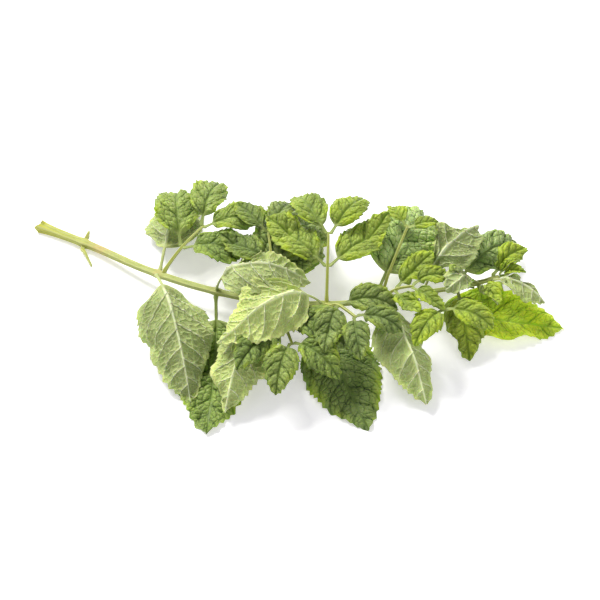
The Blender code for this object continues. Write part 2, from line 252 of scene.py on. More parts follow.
def walk(base, heading, sway, rise, fall, length, steps, pile):
    """A limp line's points. Its pitch turns from rise to fall, and it rests on the pile."""
    line = [np.array(base, float)]
    contact = [0.0]
    for i in range(1, steps + 1):
        t = i / steps
        pitch = rise + (fall - rise) * t * t * (3 - 2 * t)
        contact.append(float(np.clip((t - FREE_SHARES[0]) / (FREE_SHARES[1] - FREE_SHARES[0]), 0, 1)))
        step = direction(heading + sway * t, pitch) * length / steps
        line.append(laid(line[-1], step, pile, contact[-1]))
    return np.array(line), contact


def grow(leaf, base, pile):
    """The leaf's sheet as rows of points, each row running across the midrib in equal steps."""
    total = leaf.petiole + leaf.length
    steps = PATCH_ROWS - 1
    midrib, contact = walk(base, leaf.heading, leaf.sway, leaf.rise, leaf.fall, total, steps, pile)
    half = PATCH_COLUMNS // 2
    reach = leaf.width / 2 / half
    patch = np.zeros((PATCH_ROWS, PATCH_COLUMNS, 3))
    for i, tangent in enumerate(np.gradient(midrib, axis=0)):
        level = unit(np.cross([0.0, 0.0, 1.0], tangent))
        upright = np.cross(unit(tangent), level)
        roll = math.radians(leaf.roll)
        side = math.cos(roll) * level + math.sin(roll) * upright
        face = math.cos(roll) * upright - math.sin(roll) * level
        patch[i, half] = midrib[i]
        for sign in (-1, 1):
            ripple = leaf.wave * math.sin(i / PATCH_ROWS * WAVES + sign * leaf.node)
            for j in range(1, half + 1):
                angle = math.radians(leaf.fold + leaf.curl * j + ripple * j / half)
                step = (sign * math.cos(angle) * side + math.sin(angle) * face) * reach
                patch[i, half + sign * j] = laid(patch[i, half + sign * (j - 1)], step, pile, contact[i])
    return patch


def petiole_thickness(leaf):
    return PETIOLE_THICKNESS * min(1.0, leaf.length / FULL_LENGTH)


def half_width(leaf, distance):
    """Half the leaf's width at these distances from the foot of its petiole."""
    u = np.clip((distance - leaf.petiole) / leaf.length, 0, 1)
    a, b = BLADE_FULLEST
    fullest = (a / (a + b)) ** a * (b / (a + b)) ** b
    blade = leaf.width / 2 * u**a * (1 - u) ** b / fullest
    return np.maximum(blade, np.where(u < 0.5, PETIOLE_WIDTH, TIP_WIDTH) / 2)


def on_sheet(leaf, patch, along, across):
    """Points of the leaf's sheet at these distances along its midrib and to the side of it."""
    middle = PATCH_COLUMNS // 2
    padded = with_ends(with_ends(patch).swapaxes(0, 1)).swapaxes(0, 1)
    places = []
    for at, count in (
        (along / (leaf.petiole + leaf.length) * (PATCH_ROWS - 1), PATCH_ROWS),
        (middle * (1 + across / (leaf.width / 2)), PATCH_COLUMNS),
    ):
        cell = np.clip(np.floor(at), 0, count - 2).astype(int)
        t = at - cell
        places.append((cell, (
            0.5 * (2 * t**2 - t - t**3), 0.5 * (2 - 5 * t**2 + 3 * t**3),
            0.5 * (t + 4 * t**2 - 3 * t**3), 0.5 * (t**3 - t**2),
        )))
    (row, row_weights), (column, column_weights) = places
    return sum(
        (row_weights[i] * column_weights[j])[..., None] * padded[row + i, column + j]
        for i in range(4) for j in range(4)
    )


def swollen(at, widths):
    """The main stem's width at each distance from the cut end, thicker where its leaves are joined."""
    swelling = sum(bell((at - node) / NODE_SWELLING_REACH) for node in NODES)
    return np.interp(at, (0, at[-1]), widths) * (1 + NODE_SWELLING * np.minimum(swelling, 1))


class Stem:
    """A stem's route with its widths, and the places on its surface where leaves and shoots start."""

    def __init__(self, points, widths, swells=False, root=None):
        self.taper, self.swells, self.root = widths, swells, root
        self.route, self.at = run_of(points, RING_SPACING)
        self.widths = swollen(self.at, widths) if swells else np.interp(self.at, (0, self.at[-1]), widths)

    def spot(self, distance):
        return np.array([np.interp(distance, self.at, self.route[:, k]) for k in range(3)])

    def foot(self, distance, heading, pitch, thickness):
        """The start of something this thick that leaves the stem here, just clear of its surface."""
        along = unit(self.spot(distance + 1) - self.spot(distance - 1))
        out = direction(heading, pitch)
        out = unit(out - TURN_OUT * (out @ along) * along)
        reach = np.interp(distance, self.at, self.widths) / 2 * CORNER_REACH + JOINT_GAP + thickness / 2
        return self.spot(distance) + out * reach


def cover_leaf(leaf, patch, pile):
    along = np.linspace(0, leaf.petiole + leaf.length, COVER_GRID[0])[:, None]
    across = half_width(leaf, along) * np.linspace(-1, 1, COVER_GRID[1])
    pile.cover(on_sheet(leaf, patch, along + 0 * across, across).reshape(-1, 3))


def cover_stem(stem, pile):
    for distance in np.arange(0, stem.at[-1], 1.0):
        half = np.interp(distance, stem.at, stem.widths) / 2
        pile.cover(stem.spot(distance) + np.array([[0, y, half] for y in (-half, 0, half)]))


def grow_sprig():
    """Every leaf with its sheet, and every stem, in the order in which they lie on each other."""
    main_stem = Stem(STEM_ROUTE, STEM_WIDTHS, swells=True)
    stems = {"main_stem": main_stem}
    leaves = []
    pile = Pile()

    def add_leaf(leaf, base, root):
        patch = grow(leaf, base, pile)
        cover_leaf(leaf, patch, pile)
        leaves.append((leaf, patch, root))

    def add_leaves(group):
        for leaf in group:
            base = main_stem.foot(NODES[leaf.node], leaf.heading, leaf.rise, petiole_thickness(leaf))
            add_leaf(leaf, base, main_stem.spot(NODES[leaf.node]))

    add_leaves(UNDER_LEAVES)
    cover_stem(main_stem, pile)
    for stub in STUBS:
        base = main_stem.foot(NODES[0], stub.heading, stub.rise, STUB_WIDTHS[0])
        line, _ = walk(base, stub.heading, 0, stub.rise, stub.fall, stub.length, STUB_STEPS, pile)
        stems[stub.name] = Stem(line, STUB_WIDTHS, root=main_stem.spot(NODES[0]))
    add_leaves(SIDE_LEAVES)
    for shoot in SHOOTS:
        base = main_stem.foot(NODES[shoot.node] + AXIL_OFFSET, shoot.heading, shoot.rise, SHOOT_WIDTHS[0])
        line, _ = walk(base, shoot.heading, 0, shoot.rise, shoot.fall, shoot.length, SHOOT_STEPS, pile)
        stem = Stem(line, SHOOT_WIDTHS, root=main_stem.spot(NODES[shoot.node] + AXIL_OFFSET))
        stems[shoot.name + "_stem"] = stem
        cover_stem(stem, pile)
        for pair in range(shoot.pairs):
            share = (pair + 1) / shoot.pairs
            place = LAST_PAIR * share * stem.at[-1]
            length = shoot.leaf_length * (1 - PAIR_SHRINKAGE * share)
            for side, sign in (("near", -1), ("far", 1)):
                leaf = SHOOT_LEAF._replace(
                    name=f"{shoot.name}_leaf_{pair + 1}_{side}", node=shoot.node,
                    heading=shoot.heading + sign * SHOOT_SPREADS[pair % 2],
                    length=length, width=length * SHOOT_LEAF_WIDTH, petiole=length * SHOOT_PETIOLE,
                    roll=sign * SHOOT_LEAF.roll, sway=sign * SHOOT_LEAF.sway, material=shoot.material,
                )
                start = stem.foot(place, leaf.heading, SHOOT_LEAF_LEAVING, SHOOT_PETIOLE_THICKNESS)
                add_leaf(leaf, start, stem.spot(place))
    add_leaves(TOP_LEAVES)
    return leaves, stems


# Shaping: how a grown leaf gets its teeth, veins and quilting. Lengths are in millimetres, but the gap
# above the table is in metres.

ROW_SPACING = 0.33
COLUMN_SPACING = 0.35
PETIOLE_ROW_SPACING = 0.7
ROOT_SHARE = 0.85
BOX_TOLERANCE = 4.0
MAP_SIZE = 100.0
TABLE_GAP = 0.00005
PALE_QUILTING = 0.7
VISIBLE_BLADE = 0.32
TOOTH_LENGTH = 3.3
TEETH = (6, 18)
TOOTH_PEAK = 0.74
TOOTH_LEAN = 0.14
VEIN_SPACING = 10.5
VEIN_PAIRS = (4, 6)
VEIN_WIDTH = 0.42
CHANNEL_WIDTH = 0.42

# How young and how grey (a bloom that is partly a painted sheen) the leaves of each finish are, and their
# tone with painted light, and single leaves that differ: a leaf that stands in more light or shade is
# painted brighter or darker.
LOOKS = {
    "leaf_dark": (0.1, 0.4, 0.8), "leaf_pale": (0.15, 0.5, 0.92), "leaf_young": (0.65, 0.15, 0.9),
    "leaf_2_under": (0.1, 0.6, 0.9), "leaf_2_top": (0.45, 0.5, 0.9), "leaf_3_near": (0.5, 0.4, 1.05),
    "leaf_4_top": (0.8, 0.6, 1.14), "leaf_5_near": (0.4, 0.4, 1.05), "leaf_5_far": (0.15, 0.9, 1.25),
    "leaf_6_under": (1.1, 0.0, 1.5), "leaf_7_near": (0.8, 0.1, 0.7), "leaf_7_far": (0.1, 0.7, 1.0),
    "shoot_1_far": (0.25, 0.35, 0.85), "shoot_3_far": (0.15, 0.3, 0.7), "shoot_3_near": (0.15, 0.4, 0.75),
    "shoot_4_near": (0.12, 0.35, 0.7), "shoot_4_far": (0.45, 0.3, 0.85), "shoot_5_near": (0.55, 0.2, 0.85),
}


def smooth(low, high, value):
    t = np.clip((value - low) / (high - low), 0, 1)
    return t * t * (3 - 2 * t)


def waves(x, y, size, rng):
    """A smooth random surface between about -1 and 1 with bumps of this size."""
    total = 0
    for _ in range(5):
        angle = rng.uniform(0, math.pi)
        stretch = 2 * math.pi / (size * rng.uniform(0.8, 1.6))
        total = total + np.sin((x * math.cos(angle) + y * math.sin(angle)) * stretch + rng.uniform(0, 6.3))
    return total / 2.6


def leaf_sheet(leaf, patch, root, rng):
    """The leaf as one sheet with its toothed outline. Each point knows its relief, thickness and veins."""
    total = leaf.petiole + leaf.length
    rows = max(50, round(leaf.length / ROW_SPACING))
    foot_point = patch[0, PATCH_COLUMNS // 2]
    depth_of_foot = ROOT_SHARE * np.linalg.norm(foot_point - root)
    foot = np.concatenate([
        np.linspace(-depth_of_foot, 0, 6, endpoint=False),
        np.linspace(0, leaf.petiole, max(5, round(leaf.petiole / PETIOLE_ROW_SPACING)), endpoint=False),
    ])
    along = np.concatenate([foot, np.linspace(leaf.petiole, total, rows)])[:, None]
    half = max(14, round(leaf.width / 2 / COLUMN_SPACING))
    share = np.linspace(-1, 1, 2 * half + 1)[None, :]
    share = np.sign(share) * np.abs(share) ** 1.15
    side, outward = np.sign(share), np.abs(share)
    blade = np.clip((along - leaf.petiole) / leaf.length, 0, 1)
    grown = smooth(0, 0.09, blade)
    width = half_width(leaf, along)
    size = min(1.0, leaf.length / 40)
    strength = 0.3 + 0.7 * size

    # The outline: small teeth that lean forward, each side with its own.
    teeth = np.clip(round(leaf.length / TOOTH_LENGTH), *TEETH)
    length_of_tooth = leaf.length / teeth
    start = np.where(share < 0, rng.uniform(0, 1), rng.uniform(0, 1))
    uneven = 0.3 * np.sin(blade * 17 + 2 * side + rng.uniform(0, 6))
    tooth = (blade * teeth + start + uneven) % 1
    tooth = np.where(tooth < TOOTH_PEAK, tooth / TOOTH_PEAK, (1 - tooth) / (1 - TOOTH_PEAK))
    toothed = smooth(0.1, 0.26, blade) * (1 - smooth(0.93, 1.0, blade))
    rim = outward**12 * toothed * tooth
    depth = (0.95 + 0.01 * leaf.length) * (0.75 + 0.35 * np.sin(blade * 9 + side + rng.uniform(0, 6)))
    collar = bell((along + 0.6) / 1.7)
    flare = 0.4 * collar * size
    across = share * (width + flare) + side * rim * depth
    ahead = along + rim * length_of_tooth * TOOTH_LEAN

    # The veins: a midrib and arched side veins that bend forward as they near the edge.
    reach = np.abs(across)
    widest = leaf.width / 2
    pairs = np.clip(round(leaf.length / VEIN_SPACING), *VEIN_PAIRS)
    shift = 0.62 * reach + 0.25 * reach**2 / widest + 0.5 * width * outward**5
    wander = 0.5 * waves(across, along, 22, rng)
    origin = (along - leaf.petiole - shift + wander * np.minimum(1, reach / 4)) / leaf.length
    phase = pairs * (origin + 0.18 * origin**2) + np.where(share < 0, 0.4, 0.0) + 20
    beside = np.abs(phase - np.round(phase))
    spacing = leaf.length / pairs
    fading = 1 - smooth(0.68, 1.0, outward)
    side_vein = bell(spacing * beside / VEIN_WIDTH) * fading
    midrib_reach = 0.22 + 0.6 * size * (1 - blade) ** 0.7
    midrib = bell(reach / midrib_reach)
    slant = along - 0.45 * reach
    finer = (1.7 - 0.7 * size) / MAP_SIZE
    net = np.stack(np.broadcast_arrays(slant + wander, 0.8 * across + 40 * side, 0.0), axis=-1) * finer

    # The relief: the blade swells between its veins and waves at its edge.
    swell = np.sin(math.pi * beside) ** 0.7
    inside = grown * (1 - np.exp(-reach / 1.6)) * (1 - 0.7 * smooth(0.7, 1.0, outward))
    inside = inside * strength * (PALE_QUILTING if leaf.material == "leaf_pale" else 1.0)
    ripple = np.sin(blade * leaf.length / rng.uniform(1.9, 2.7) + 1.5 * side) * outward**2.2
    ripple = grown * (ripple + 0.9 * waves(across, along, 19, rng)) * strength

    # The thickness: a thick round petiole, a thin blade and a rib underneath.
    thick = petiole_thickness(leaf) / VISIBLE_BLADE
    round_edge = np.sqrt(np.clip(1 - share**2, 0, 1))
    blade_edge = 1 - outward**14
    body = thick * round_edge * (1 + 0.3 * collar)
    body = body + (blade_edge - body) * smooth(0, 0.1, blade)
    closing = np.sqrt(np.clip((total - along) / 1.2, 0, 1) * np.clip((along + depth_of_foot) / 0.5, 0, 1))
    body = body * closing
    taper = (1 - 0.72 * blade) * grown * size
    rib = taper * np.sqrt(np.clip(1 - (reach / (midrib_reach * 1.5)) ** 2, 0, 1)) ** 1.3
    rib = rib + 0.75 * side_vein * grown * size * (1 - 0.5 * reach / widest)
    rim_closed = closing * (1 - outward**6)
    channel = 0.3 * (1 - smooth(0.02, 0.2, blade)) * bell(reach / CHANNEL_WIDTH) * smooth(0, 3, along)

    points = on_sheet(leaf, patch, np.clip(ahead, 0, total), across)
    points = points + unit(root - foot_point) * np.maximum(0, -along)[..., None]
    shape = points.shape[:2]
    corners = np.arange(shape[0] * shape[1]).reshape(shape)
    faces = np.stack([corners[:-1, :-1], corners[1:, :-1], corners[1:, 1:], corners[:-1, 1:]], axis=-1)
    facts = {
        "swell": inside * swell - 0.25 * grown * midrib,
        "inside": inside,
        "ripple": ripple,
        "body": body,
        "rib": rib * rim_closed,
        "channel": channel,
        "edge": grown * outward**4,
        "blade": grown,
        "phase": phase,
        "spacing": spacing / MAP_SIZE,
        "lateral": across / MAP_SIZE,
        "midrib": midrib_reach / MAP_SIZE,
        "fading": fading * grown,
    }
    facts = {name: np.broadcast_to(fact, shape).ravel() for name, fact in facts.items()}
    place = np.stack(np.broadcast_arrays(across + MAP_SIZE / 2, along + 10.0), axis=-1) / MAP_SIZE
    return points.reshape(-1, 3), faces.reshape(-1, 4), facts, place.reshape(-1, 2), net.reshape(-1, 3)


def give(mesh, name, values, kind="FLOAT", part="value"):
    """Stores a named value on each point of a mesh."""
    numbers = np.asarray(values, np.float32).ravel()
    mesh.attributes.new(name, kind, "POINT").data.foreach_set(part, numbers)


def sheet_mesh(leaf, patch, root, number):
    """The mesh of a leaf's sheet, checked against the box of the leaf's own node."""
    rng = np.random.default_rng(100 + number)
    points, faces, facts, place, net = leaf_sheet(leaf, patch, root, rng)
    low, high = (np.array(corner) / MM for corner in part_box(leaf.name))
    below, above = low - points.min(axis=0), points.max(axis=0) - high
    if max(below.max(), above.max()) > BOX_TOLERANCE:
        raise RuntimeError(f"{leaf.name} has grown outside its node")
    mesh = bpy.data.meshes.new(leaf.name + "_sheet")
    mesh.from_pydata(points * MM, [], faces)
    for name, fact in facts.items():
        give(mesh, name, fact)
    look = next((LOOKS[name] for name in LOOKS if leaf.name.startswith(name)), LOOKS[leaf.material])
    youth, greyness, bright = look
    youth = np.clip(youth + rng.uniform(-0.12, 0.12) + 0.25 * (1 - min(1, leaf.length / 40)), 0, 1)
    greyness = np.clip(greyness + rng.uniform(-0.35, 0.5), 0, 1)
    # The third value is the leaf's tone with painted light, brighter or darker as the leaf stands in light
    # or shade.
    for name, value in (("youth", youth), ("grey", greyness), ("bright", bright)):
        give(mesh, name, np.full(len(points), value))
    give(mesh, "net", net, "FLOAT_VECTOR", "vector")
    corner = np.empty(len(mesh.loops), dtype=np.int32)
    mesh.loops.foreach_get("vertex_index", corner)
    mesh.uv_layers.new(name="leaf_map").data.foreach_set("uv", place[corner].ravel())
    return mesh


# Node trees.

# The vein network: its cells for each unit of the leaf's map, and how unlike each other they are.
NET_SCALE = 0.1
NET_RANDOMNESS = 0.9

# A stem's ring and its torn fibres, and its hairs: their greatest lean in radians, their lengths as shares
# of the set one, and their radius as a share of their length.
STEM_SIDES = 40
LOBE_TURN = 0.6
TORN_GRAIN = 900.0
TORN_SPREAD = 1.2
HAIR_LEAN = 0.6
HAIR_LENGTHS = (0.5, 1.2)
HAIR_RADIUS = 0.045


def socket_of(sockets, key):
    if isinstance(key, int):
        return sockets[key]
    return next(socket for socket in sockets if socket.name == key and socket.enabled)


class Graph:
    """A node tree, with short ways to add a node and join it to others."""

    def __init__(self, tree):
        self.tree = tree

    def feed(self, node, inputs):
        """Sets each of these inputs of a node to its value, or links it to its socket."""
        for key, value in inputs.items():
            socket = socket_of(node.inputs, key)
            for one in value if isinstance(value, list) else [value]:
                if isinstance(one, bpy.types.NodeSocket):
                    self.tree.links.new(one, socket)
                else:
                    socket.default_value = one

    def node(self, kind, inputs=None, **settings):
        made = self.tree.nodes.new(kind)
        for name, value in settings.items():
            setattr(made, name, value)
        self.feed(made, inputs or {})
        return made

    def geometry(self, kind, inputs=None, **settings):
        return self.node("GeometryNode" + kind, inputs, **settings).outputs[0]

    def shader(self, kind, inputs=None, **settings):
        return self.node("ShaderNode" + kind, inputs, **settings).outputs[0]

    def maths(self, operation, *values, clamp=False):
        return self.shader("Math", dict(enumerate(values)), operation=operation, use_clamp=clamp)

    def times(self, a, b, plus=None, clamp=False):
        """The product of two values, plus a third one where it is given."""
        if plus is None:
            return self.maths("MULTIPLY", a, b, clamp=clamp)
        return self.maths("MULTIPLY_ADD", a, b, plus, clamp=clamp)

    def scaled(self, vector, factor):
        return self.shader("VectorMath", {0: vector, "Scale": factor}, operation="SCALE")

    def ramped(self, value, low, high, start=0.0, end=1.0):
        return self.shader("MapRange", {
            "Value": value, "From Min": low, "From Max": high, "To Min": start, "To Max": end,
        }, interpolation_type="SMOOTHSTEP")

    def blended(self, factor, a, b, blend_type="MIX"):
        """The mix of two colours, each of them a socket or three numbers."""
        a, b = (colour if isinstance(colour, bpy.types.NodeSocket) else (*colour, 1) for colour in (a, b))
        made = self.node(
            "ShaderNodeMix", {"Factor": factor, "A": a, "B": b}, data_type="RGBA", blend_type=blend_type
        )
        return socket_of(made.outputs, "Result")

    def painted(self, name):
        """A named attribute's value in a material."""
        return self.node("ShaderNodeAttribute", attribute_name=name).outputs["Fac"]

    def edge_of_cell(self, net, scale):
        """How far each point of the vein network is from the edge of its cell."""
        return self.node(
            "ShaderNodeTexVoronoi", {"Vector": net, "Scale": scale, "Randomness": NET_RANDOMNESS},
            voronoi_dimensions="2D", feature="DISTANCE_TO_EDGE",
        ).outputs["Distance"]

    def fact(self, name, kind="FLOAT"):
        """A named attribute's value in a geometry tree."""
        made = self.node("GeometryNodeInputNamedAttribute", {"Name": name}, data_type=kind)
        return socket_of(made.outputs, "Attribute")


def new_geometry_tree(name, inputs):
    """An empty geometry tree with these named inputs, and the sockets that bring them in."""
    tree = bpy.data.node_groups.new(name, "GeometryNodeTree")
    tree.interface.new_socket("Geometry", in_out="INPUT", socket_type="NodeSocketGeometry")
    tree.interface.new_socket("Geometry", in_out="OUTPUT", socket_type="NodeSocketGeometry")
    for label, kind in inputs:
        tree.interface.new_socket(label, in_out="INPUT", socket_type="NodeSocket" + kind)
    given = tree.nodes.new("NodeGroupInput").outputs
    return Graph(tree), {socket.name: socket for socket in given if socket.name}


def kept_above(graph, geometry, lowest):
    """The geometry with every point raised to at least this height."""
    x, y, z = graph.node("ShaderNodeSeparateXYZ", {0: graph.geometry("InputPosition")}).outputs
    place = graph.shader("CombineXYZ", {0: x, 1: y, 2: graph.maths("MAXIMUM", z, lowest)})
    return graph.geometry("SetPosition", {"Geometry": geometry, "Position": place})


def marked(graph, geometry, name):
    """The geometry with a named yes on each of its faces."""
    return graph.geometry(
        "StoreNamedAttribute", {"Geometry": geometry, "Name": name, "Value": True},
        data_type="BOOLEAN", domain="FACE",
    )


def finish_tree(graph, geometry, material, mark, marked_material):
    """Ends the tree with plain geometry in one material, and its marked faces in another."""
    plain = graph.geometry("RealizeInstances", {"Geometry": geometry})
    plain = graph.geometry("SetMaterial", {"Geometry": plain, "Material": material})
    plain = graph.geometry("SetMaterial", {
        "Geometry": plain, "Selection": graph.fact(mark, "BOOLEAN"), "Material": marked_material,
    })
    graph.node("NodeGroupOutput", {"Geometry": plain})
    return graph.tree


def leaf_skins_tree():
    """Gives a leaf's sheet its relief and its two skins, closed at the rim."""
    graph, given = new_geometry_tree("Leaf skins", (
        ("Quilt Height", "Float"), ("Pillow Height", "Float"), ("Pillow Size", "Float"),
        ("Edge Ripple", "Float"), ("Blade Thickness", "Float"), ("Rib Height", "Float"),
        ("Table Gap", "Float"), ("Upper Face", "Material"), ("Under Face", "Material"),
    ))
    normal = graph.node("GeometryNodeInputNormal").outputs["Normal"]
    relief = graph.times(graph.fact("swell"), given["Quilt Height"])
    scale = graph.maths("DIVIDE", NET_SCALE, given["Pillow Size"])
    cell = graph.edge_of_cell(graph.fact("net", "FLOAT_VECTOR"), scale)
    pillow = graph.times(graph.ramped(cell, 0.0, 0.33), graph.fact("inside"))
    relief = graph.times(pillow, given["Pillow Height"], plus=relief)
    relief = graph.times(graph.fact("ripple"), given["Edge Ripple"], plus=relief)
    half = graph.times(given["Blade Thickness"], 0.5)
    half = graph.times(graph.fact("body"), half)
    rib = graph.times(graph.fact("rib"), given["Rib Height"])
    channel = graph.times(graph.fact("channel"), given["Rib Height"])
    upper = graph.maths("SUBTRACT", graph.maths("ADD", relief, half), channel)
    under = graph.maths("SUBTRACT", graph.maths("SUBTRACT", relief, half), rib)

    def skin(height, lift):
        offset = graph.scaled(normal, height)
        moved = graph.geometry("SetPosition", {"Geometry": given["Geometry"], "Offset": offset})
        return kept_above(graph, moved, lift)

    def lift(sign):
        own = graph.maths("ABSOLUTE", graph.maths("ADD", graph.times(half, sign), half))
        return graph.maths("ADD", own, given["Table Gap"])

    top = skin(upper, lift(1.0))
    bottom = graph.geometry("FlipFaces", {"Mesh": skin(under, lift(-1.0))})
    both = graph.geometry("JoinGeometry", {"Geometry": [marked(graph, bottom, "under face"), top]})
    closed = graph.geometry("MergeByDistance", {"Geometry": both, "Distance": 1e-6})
    closed = graph.geometry("SetShadeSmooth", {"Geometry": closed})
    return finish_tree(graph, closed, given["Upper Face"], "under face", given["Under Face"])


def stem_tree():
    """Sweeps a ridged square skin along a stem's line and sets fine hairs on it."""
    graph, given = new_geometry_tree("Stem skin", (
        ("Squareness", "Float"), ("Hair Length", "Float"), ("Hairs per Square Metre", "Float"),
        ("Seed", "Int"), ("Table Gap", "Float"), ("Torn Depth", "Float"), ("Cut Direction", "Vector"),
        ("Skin", "Material"), ("Hair", "Material"),
    ))
    ring = graph.geometry("CurvePrimitiveCircle", {"Resolution": STEM_SIDES, "Radius": 1.0})
    index = graph.geometry("InputIndex")
    corner = graph.maths("COSINE", graph.times(index, 8 * math.pi / STEM_SIDES))
    lobe = graph.maths("COSINE", graph.times(index, 4 * math.pi / STEM_SIDES, plus=LOBE_TURN))
    factor = graph.maths("SUBTRACT", 1.0, graph.times(corner, given["Squareness"]))
    shaped = graph.scaled(graph.geometry("InputPosition"), factor)
    for name, value in (("corner", corner), ("lobe", lobe)):
        ring = graph.geometry(
            "StoreNamedAttribute", {"Geometry": ring, "Name": name, "Value": value},
            data_type="FLOAT", domain="POINT",
        )
    ring = graph.geometry("SetPosition", {"Geometry": ring, "Position": shaped})
    line = graph.geometry("MeshToCurve", {"Mesh": given["Geometry"]})
    swept = graph.geometry("CurveToMesh", {
        "Curve": line, "Profile Curve": ring, "Scale": graph.fact("girth"), "Fill Caps": True,
    })
    torn = graph.shader("TexNoise", {"Scale": TORN_GRAIN})
    torn = graph.maths("ADD", graph.times(torn, 2 * TORN_SPREAD, plus=-TORN_SPREAD), graph.fact("lobe"))
    torn = graph.times(torn, graph.times(graph.fact("torn"), given["Torn Depth"]))
    torn = graph.scaled(given["Cut Direction"], torn)
    swept = graph.geometry("SetPosition", {"Geometry": swept, "Offset": torn})
    swept = graph.geometry("SetShadeSmooth", {"Geometry": swept})
    spots = graph.node("GeometryNodeDistributePointsOnFaces", {
        "Mesh": swept, "Selection": graph.maths("GREATER_THAN", graph.fact("downy"), 0.01),
        "Density": graph.times(graph.fact("downy"), given["Hairs per Square Metre"]),
        "Seed": given["Seed"],
    })
    cone = graph.geometry("MeshCone", {
        "Vertices": 3, "Side Segments": 1, "Radius Top": 0.0, "Radius Bottom": HAIR_RADIUS, "Depth": 1.0,
    }, fill_type="NONE")
    lean = graph.node("FunctionNodeRandomValue", {
        "Min": (-HAIR_LEAN, -HAIR_LEAN, 0.0), "Max": (HAIR_LEAN, HAIR_LEAN, 0.0), "Seed": given["Seed"],
    }, data_type="FLOAT_VECTOR")
    turned = graph.node("FunctionNodeRotateRotation", {
        "Rotation": spots.outputs["Rotation"], "Rotate By": lean.outputs[0],
    }, rotation_space="LOCAL").outputs[0]
    long = graph.node("FunctionNodeRandomValue", {
        "Min": HAIR_LENGTHS[0], "Max": HAIR_LENGTHS[1], "Seed": given["Seed"],
    }, data_type="FLOAT")
    long = graph.times(socket_of(long.outputs, "Value"), given["Hair Length"])
    hairs = graph.geometry("InstanceOnPoints", {
        "Points": spots.outputs["Points"], "Instance": cone, "Rotation": turned, "Scale": long,
    })
    hairs = marked(graph, graph.geometry("RealizeInstances", {"Geometry": hairs}), "hair")
    whole = graph.geometry("JoinGeometry", {"Geometry": [hairs, swept]})
    whole = kept_above(graph, whole, given["Table Gap"])
    return finish_tree(graph, whole, given["Skin"], "hair", given["Hair"])


def new_object(name, data):
    made = bpy.data.objects.new(name, data)
    bpy.context.scene.collection.objects.link(made)
    return made


def formed(name, mesh, tree, values):
    """A new object whose plain mesh is what the geometry tree makes of the given mesh."""
    piece = new_object(name, mesh)
    modifier = piece.modifiers.new(tree.name, "NODES")
    modifier.node_group = tree
    for item in tree.interface.items_tree:
        if item.in_out == "INPUT" and item.name in values:
            modifier[item.identifier] = values[item.name]
    made = bpy.data.meshes.new_from_object(piece.evaluated_get(bpy.context.evaluated_depsgraph_get()))
    piece.modifiers.clear()
    piece.data = made
    made.name = name
    bpy.data.meshes.remove(mesh)
    if not made.polygons:
        raise RuntimeError(f"{name} came out empty")
    return piece


# Finishes.

# The finer network's cells beside the coarser one's, and how far from a side vein's middle its colour and
# its painted shadow line run out, in units of the leaf's map.
FINE_SHARE = 0.42
VEIN_EDGE = (0.0024, 0.0054)
VEIN_SHADOW_EDGE = (0.004, 0.011)


def new_material(name):
    material = bpy.data.materials.new(name)
    material.use_nodes = True
    return material, Graph(material.node_tree), material.node_tree.nodes["Principled BSDF"]


